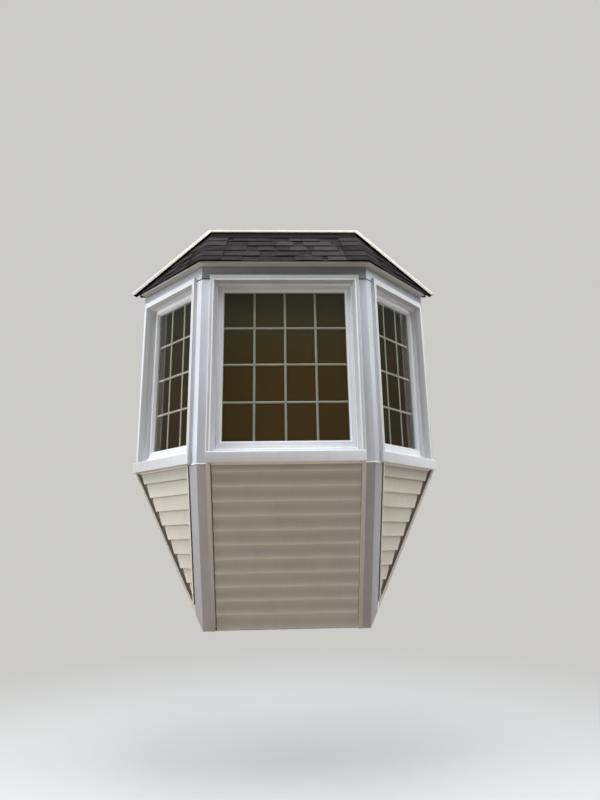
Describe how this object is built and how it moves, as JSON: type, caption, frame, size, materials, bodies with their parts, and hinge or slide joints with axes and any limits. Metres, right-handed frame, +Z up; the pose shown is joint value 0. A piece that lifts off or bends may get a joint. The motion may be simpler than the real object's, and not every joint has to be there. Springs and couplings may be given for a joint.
{
  "type": "bay window",
  "caption": "Wall-hung bay window: angled glazed box with white casings under a shingled hip roof, over a lap-sided skirt that slopes back to the wall.",
  "frame": {"origin": "centre of the wall ledger's back face, in the outer face of the wall", "axes": "+X along the wall to the right as seen from outside, +Y into the wall, +Z up; the bay stands out towards -Y"},
  "size_m": [2.4374, 0.7174, 3.0817],
  "materials": {
    "white_vinyl": "smooth white vinyl, satin",
    "white_trim": "white coated trim coil, satin",
    "beige_trim": "light beige coated trim coil, satin",
    "grey_trim": "pale grey coated corner trim, satin",
    "cream_vinyl": "cream vinyl siding, low sheen grain",
    "shingle": "charcoal mineral granules on asphalt",
    "dark_flashing": "dark brown coated flashing",
    "window_glass": "clear sealed double glazing",
    "board_wood": "smooth birch-faced board",
    "timber": "sawn softwood"
  },
  "bodies": {
    "root": {"shingles_front": "shingle", "shingles_left": "shingle", "shingles_right": "shingle", "hip_cap_left": "shingle", "hip_cap_right": "shingle", "top_flashing": "dark_flashing", "rake_channels": "cream_vinyl", "roof_deck_front": "board_wood", "roof_deck_left": "board_wood", "roof_deck_right": "board_wood", "fascia": "beige_trim", "soffit": "beige_trim", "frieze_front": "white_trim", "frieze_left": "white_trim", "frieze_right": "white_trim", "roof_ledger": "timber", "rafters": "timber", "head_board": "board_wood", "seat_board": "board_wood", "corner_post_left": "white_trim", "corner_post_right": "white_trim", "mullion_posts": "timber", "wall_jambs": "timber", "wall_trims": "white_trim", "window_frame_center": "white_vinyl", "window_frame_left": "white_vinyl", "window_frame_right": "white_vinyl", "glass_center": "window_glass", "glass_left": "window_glass", "glass_right": "window_glass", "casing_center": "white_vinyl", "casing_left": "white_vinyl", "casing_right": "white_vinyl", "sill_center": "white_vinyl", "sill_left": "white_vinyl", "sill_right": "white_vinyl", "skirt_panel_front": "cream_vinyl", "skirt_panel_left": "cream_vinyl", "skirt_panel_right": "cream_vinyl", "skirt_post_left": "grey_trim", "skirt_post_right": "grey_trim", "skirt_channels": "cream_vinyl", "wall_ledger": "timber", "seat_joists": "timber", "skirt_studs": "timber"}
  },
  "joints": []
}
